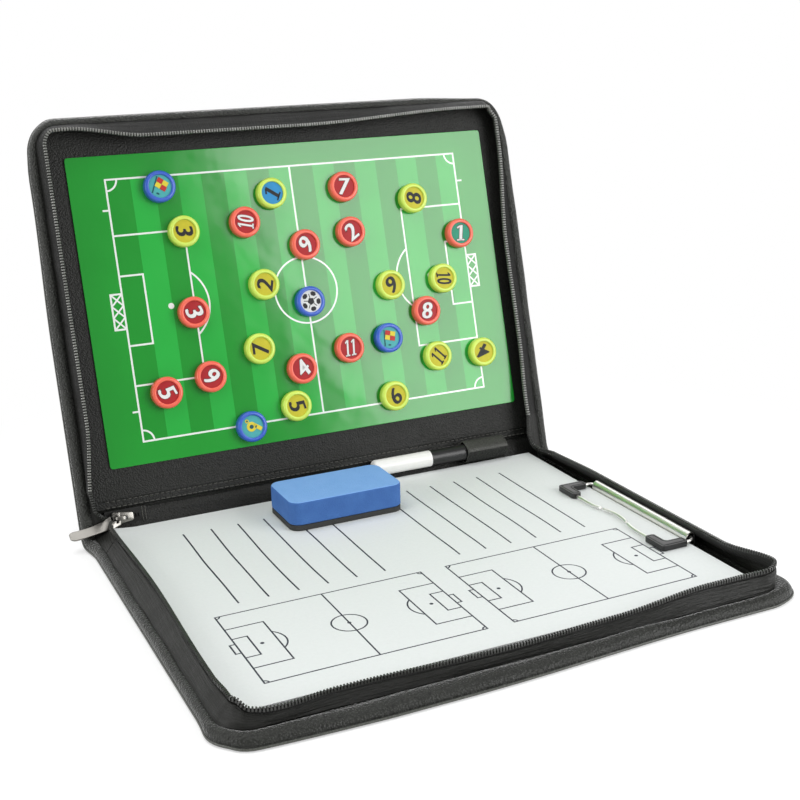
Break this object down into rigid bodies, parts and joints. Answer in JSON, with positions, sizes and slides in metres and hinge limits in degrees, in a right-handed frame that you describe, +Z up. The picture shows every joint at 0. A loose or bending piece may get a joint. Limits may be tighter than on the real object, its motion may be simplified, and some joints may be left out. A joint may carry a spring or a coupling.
{
  "type": "tactics board",
  "caption": "Zip-round leatherette coaching folder: lid with a magnetic football pitch board and numbered tokens, base with a writing pad, spring clip, eraser and marker.",
  "frame": {"origin": "centre of the base panel's underside, on the surface it lies on", "axes": "+X right, +Y back towards the spine, +Z up; stored with the lid standing open"},
  "size_m": [0.3436, 0.3363, 0.2559],
  "materials": {
    "leatherette": "grained, satin",
    "greyboard": "matt",
    "lining": "fine weave",
    "zip_tape": "twill",
    "zip_teeth": "satin",
    "backing_card": "matt",
    "paper": "matt",
    "bright_steel": "polished",
    "black_plastic": "satin",
    "blue_foam": "matt foam",
    "dark_felt": "felt",
    "white_plastic": "gloss",
    "pen_felt": "felt",
    "elastic": "woven",
    "zip_metal": "bright",
    "pitch_print": "gloss",
    "token_red": "gloss",
    "token_yellow": "gloss",
    "token_blue": "gloss"
  },
  "bodies": {
    "base": {"base_cover": "leatherette", "base_stiffener": "greyboard", "base_lining": "lining", "base_zip_tape": "zip_tape", "base_zip_teeth": "zip_teeth", "pad_backing_card": "backing_card", "pad_sheets": "paper", "clip_barrel": "bright_steel"},
    "spine_lower": {"spine_lower_cover": "leatherette", "spine_lower_lining": "lining"},
    "spine_upper": {"spine_upper_cover": "leatherette", "spine_upper_lining": "lining", "pen_loop": "elastic", "zip_end_tape": "zip_tape", "zip_end_teeth": "zip_teeth"},
    "lid": {"lid_cover": "leatherette", "lid_stiffener": "greyboard", "lid_lining": "lining", "lid_zip_tape": "zip_tape", "lid_zip_teeth": "zip_teeth", "pitch_board": "pitch_print"},
    "clip_bail": {"clip_bail": "bright_steel", "clip_tip_back": "black_plastic", "clip_tip_front": "black_plastic"},
    "eraser": {"eraser_foam": "blue_foam", "eraser_felt": "dark_felt"},
    "pen": {"pen_barrel": "white_plastic", "pen_nib": "pen_felt"},
    "pen_cap": {"pen_cap": "black_plastic"},
    "zip_slider": {"zip_slider": "zip_metal"},
    "zip_pull": {"zip_pull": "zip_metal"},
    "token_red_1": {"token_red_1": "token_red"},
    "token_red_2": {"token_red_2": "token_red"},
    "token_red_3": {"token_red_3": "token_red"},
    "token_red_4": {"token_red_4": "token_red"},
    "token_red_5": {"token_red_5": "token_red"},
    "token_red_6": {"token_red_6": "token_red"},
    "token_red_7": {"token_red_7": "token_red"},
    "token_red_8": {"token_red_8": "token_red"},
    "token_red_9": {"token_red_9": "token_red"},
    "token_red_10": {"token_red_10": "token_red"},
    "token_red_11": {"token_red_11": "token_red"},
    "token_yellow_1": {"token_yellow_1": "token_yellow"},
    "token_yellow_2": {"token_yellow_2": "token_yellow"},
    "token_yellow_3": {"token_yellow_3": "token_yellow"},
    "token_yellow_4": {"token_yellow_4": "token_yellow"},
    "token_yellow_5": {"token_yellow_5": "token_yellow"},
    "token_yellow_6": {"token_yellow_6": "token_yellow"},
    "token_yellow_7": {"token_yellow_7": "token_yellow"},
    "token_yellow_8": {"token_yellow_8": "token_yellow"},
    "token_yellow_9": {"token_yellow_9": "token_yellow"},
    "token_yellow_10": {"token_yellow_10": "token_yellow"},
    "token_yellow_11": {"token_yellow_11": "token_yellow"},
    "token_blue_ball": {"token_blue_ball": "token_blue"},
    "token_blue_flag_left": {"token_blue_flag_left": "token_blue"},
    "token_blue_flag_right": {"token_blue_flag_right": "token_blue"},
    "token_blue_whistle": {"token_blue_whistle": "token_blue"}
  },
  "joints": [
    {"name": "base_fold", "type": "hinge", "parent": "base", "child": "spine_lower", "pos_m": [0, 0.12, 0.0006], "axis": [-1, 0, 0], "range_deg": [-52.8, 0]},
    {"name": "middle_fold", "type": "hinge", "parent": "spine_lower", "child": "spine_upper", "pos_m": [0, 0.1446, 0.0006], "axis": [-1, 0, 0], "range_deg": [0, 74.4]},
    {"name": "lid_fold", "type": "hinge", "parent": "spine_upper", "child": "lid", "pos_m": [0, 0.15121, 0.02429], "axis": [-1, 0, 0], "range_deg": [-52.8, 0]},
    {"name": "clip_bail_turn", "type": "hinge", "parent": "base", "child": "clip_bail", "pos_m": [0.1504, 0.007, 0.0115], "axis": [0, 1, 0], "range_deg": [0, 100], "stiffness_Nm_per_rad": 0.08, "springref_deg": -28.65},
    {"name": "eraser_lift", "type": "slide", "parent": "base", "child": "eraser", "axis": [0, 0, 1], "range_m": [0, 0.06]},
    {"name": "pen_slide", "type": "slide", "parent": "spine_upper", "child": "pen", "axis": [-1, 0, 0], "range_m": [0, 0.03]},
    {"name": "pen_cap_pull", "type": "slide", "parent": "pen", "child": "pen_cap", "axis": [1, 0, 0], "range_m": [0, 0.03]},
    {"name": "slider_run", "type": "slide", "parent": "spine_upper", "child": "zip_slider", "axis": [-1, 0, 0], "range_m": [0, 0.01]},
    {"name": "pull_turn", "type": "hinge", "parent": "zip_slider", "child": "zip_pull", "pos_m": [-0.1436, 0.14028, 0.01562], "axis": [0, 0.2689, 0.9632], "range_deg": [0, 150]},
    {"name": "token_red_1_lift", "type": "slide", "parent": "lid", "child": "token_red_1", "axis": [0, -0.9632, 0.2689], "range_m": [0, 0.03]},
    {"name": "token_red_2_lift", "type": "slide", "parent": "lid", "child": "token_red_2", "axis": [0, -0.9632, 0.2689], "range_m": [0, 0.03]},
    {"name": "token_red_3_lift", "type": "slide", "parent": "lid", "child": "token_red_3", "axis": [0, -0.9632, 0.2689], "range_m": [0, 0.03]},
    {"name": "token_red_4_lift", "type": "slide", "parent": "lid", "child": "token_red_4", "axis": [0, -0.9632, 0.2689], "range_m": [0, 0.03]},
    {"name": "token_red_5_lift", "type": "slide", "parent": "lid", "child": "token_red_5", "axis": [0, -0.9632, 0.2689], "range_m": [0, 0.03]},
    {"name": "token_red_6_lift", "type": "slide", "parent": "lid", "child": "token_red_6", "axis": [0, -0.9632, 0.2689], "range_m": [0, 0.03]},
    {"name": "token_red_7_lift", "type": "slide", "parent": "lid", "child": "token_red_7", "axis": [0, -0.9632, 0.2689], "range_m": [0, 0.03]},
    {"name": "token_red_8_lift", "type": "slide", "parent": "lid", "child": "token_red_8", "axis": [0, -0.9632, 0.2689], "range_m": [0, 0.03]},
    {"name": "token_red_9_lift", "type": "slide", "parent": "lid", "child": "token_red_9", "axis": [0, -0.9632, 0.2689], "range_m": [0, 0.03]},
    {"name": "token_red_10_lift", "type": "slide", "parent": "lid", "child": "token_red_10", "axis": [0, -0.9632, 0.2689], "range_m": [0, 0.03]},
    {"name": "token_red_11_lift", "type": "slide", "parent": "lid", "child": "token_red_11", "axis": [0, -0.9632, 0.2689], "range_m": [0, 0.03]},
    {"name": "token_yellow_1_lift", "type": "slide", "parent": "lid", "child": "token_yellow_1", "axis": [0, -0.9632, 0.2689], "range_m": [0, 0.03]},
    {"name": "token_yellow_2_lift", "type": "slide", "parent": "lid", "child": "token_yellow_2", "axis": [0, -0.9632, 0.2689], "range_m": [0, 0.03]},
    {"name": "token_yellow_3_lift", "type": "slide", "parent": "lid", "child": "token_yellow_3", "axis": [0, -0.9632, 0.2689], "range_m": [0, 0.03]},
    {"name": "token_yellow_4_lift", "type": "slide", "parent": "lid", "child": "token_yellow_4", "axis": [0, -0.9632, 0.2689], "range_m": [0, 0.03]},
    {"name": "token_yellow_5_lift", "type": "slide", "parent": "lid", "child": "token_yellow_5", "axis": [0, -0.9632, 0.2689], "range_m": [0, 0.03]},
    {"name": "token_yellow_6_lift", "type": "slide", "parent": "lid", "child": "token_yellow_6", "axis": [0, -0.9632, 0.2689], "range_m": [0, 0.03]},
    {"name": "token_yellow_7_lift", "type": "slide", "parent": "lid", "child": "token_yellow_7", "axis": [0, -0.9632, 0.2689], "range_m": [0, 0.03]},
    {"name": "token_yellow_8_lift", "type": "slide", "parent": "lid", "child": "token_yellow_8", "axis": [0, -0.9632, 0.2689], "range_m": [0, 0.03]},
    {"name": "token_yellow_9_lift", "type": "slide", "parent": "lid", "child": "token_yellow_9", "axis": [0, -0.9632, 0.2689], "range_m": [0, 0.03]},
    {"name": "token_yellow_10_lift", "type": "slide", "parent": "lid", "child": "token_yellow_10", "axis": [0, -0.9632, 0.2689], "range_m": [0, 0.03]},
    {"name": "token_yellow_11_lift", "type": "slide", "parent": "lid", "child": "token_yellow_11", "axis": [0, -0.9632, 0.2689], "range_m": [0, 0.03]},
    {"name": "token_blue_ball_lift", "type": "slide", "parent": "lid", "child": "token_blue_ball", "axis": [0, -0.9632, 0.2689], "range_m": [0, 0.03]},
    {"name": "token_blue_flag_left_lift", "type": "slide", "parent": "lid", "child": "token_blue_flag_left", "axis": [0, -0.9632, 0.2689], "range_m": [0, 0.03]},
    {"name": "token_blue_flag_right_lift", "type": "slide", "parent": "lid", "child": "token_blue_flag_right", "axis": [0, -0.9632, 0.2689], "range_m": [0, 0.03]},
    {"name": "token_blue_whistle_lift", "type": "slide", "parent": "lid", "child": "token_blue_whistle", "axis": [0, -0.9632, 0.2689], "range_m": [0, 0.03]}
  ],
  "couplings": [
    {"joint": "lid_fold", "follows": "base_fold", "ratio": 1}
  ]
}
